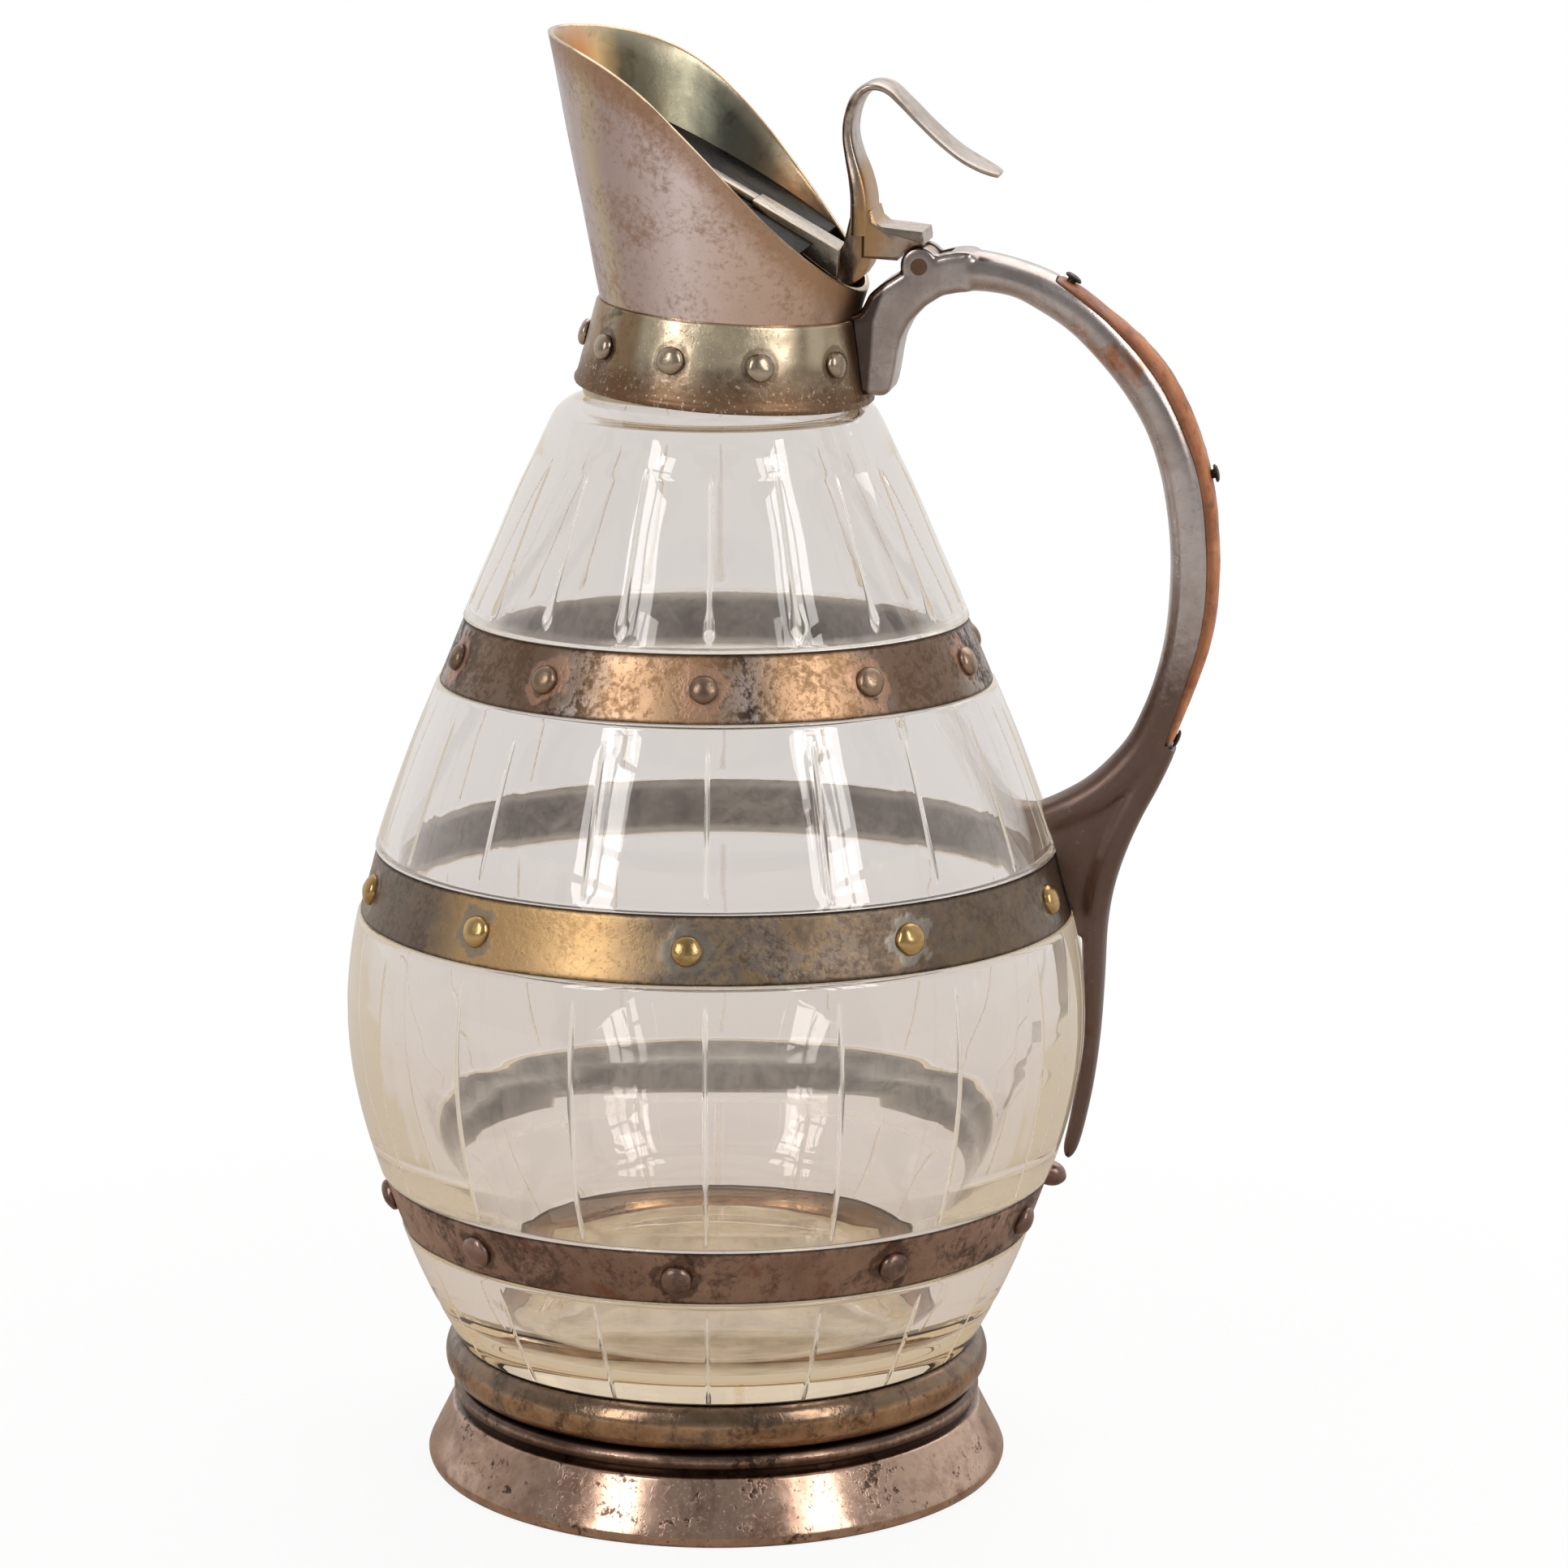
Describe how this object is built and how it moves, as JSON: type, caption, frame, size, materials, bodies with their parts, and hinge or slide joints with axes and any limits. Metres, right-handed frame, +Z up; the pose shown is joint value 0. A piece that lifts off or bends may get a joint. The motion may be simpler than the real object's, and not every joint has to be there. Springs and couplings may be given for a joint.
{
  "type": "claret jug",
  "caption": "Barrel-shaped glass claret jug with studded metal hoops, a tall scoop spout, a bow handle and a hinged inner flap lid worked by a thumb lever.",
  "frame": {"origin": "centre of the foot's underside, on the axis of the glass", "axes": "+Z up along the axis of the glass, +X towards the handle, -Y the side seen in the picture"},
  "size_m": [0.1721, 0.1472, 0.2866],
  "materials": {
    "clear_glass": "clear, polished, with cut stave lines",
    "silver_plate": "worn silver plate over brass, semi-gloss with stains",
    "dark_plate": "tarnished silver plate, olive to brown",
    "copper_plate": "worn plate with copper showing, pitted",
    "gilt_plate": "old gilding, dark and granular",
    "brass_studs": "polished domes with dull edges",
    "pin_metal": "dull brown end grain",
    "dark_pins": "near black",
    "plaster": "matt cream setting plaster",
    "leather": "worn orange-brown leather"
  },
  "bodies": {
    "jug": {"glass_body": "clear_glass", "hoop_lower_band": "copper_plate", "hoop_middle_band": "dark_plate", "hoop_upper_band": "silver_plate", "studs_lower": "copper_plate", "studs_middle": "brass_studs", "studs_upper": "brass_studs", "tail_stud": "copper_plate", "foot_bead_ring": "dark_plate", "foot_flare": "copper_plate", "base_plaster": "plaster", "base_plate": "dark_plate", "neck_plaster": "plaster", "neck_collar": "dark_plate", "collar_studs": "silver_plate", "spout": "silver_plate", "hinge_bracket": "silver_plate", "hinge_pin": "pin_metal", "handle": "silver_plate", "grip_strip": "leather", "grip_pins": "dark_pins"},
    "lid": {"lid_flap": "gilt_plate", "lid_arm": "silver_plate", "thumb_lever": "silver_plate"}
  },
  "joints": [
    {"name": "lid_hinge", "type": "hinge", "parent": "jug", "child": "lid", "pos_m": [0.04069, -0.00147, 0.2417], "axis": [0.0039, 0.9986, 0.0522], "range_deg": [0, 40]}
  ]
}
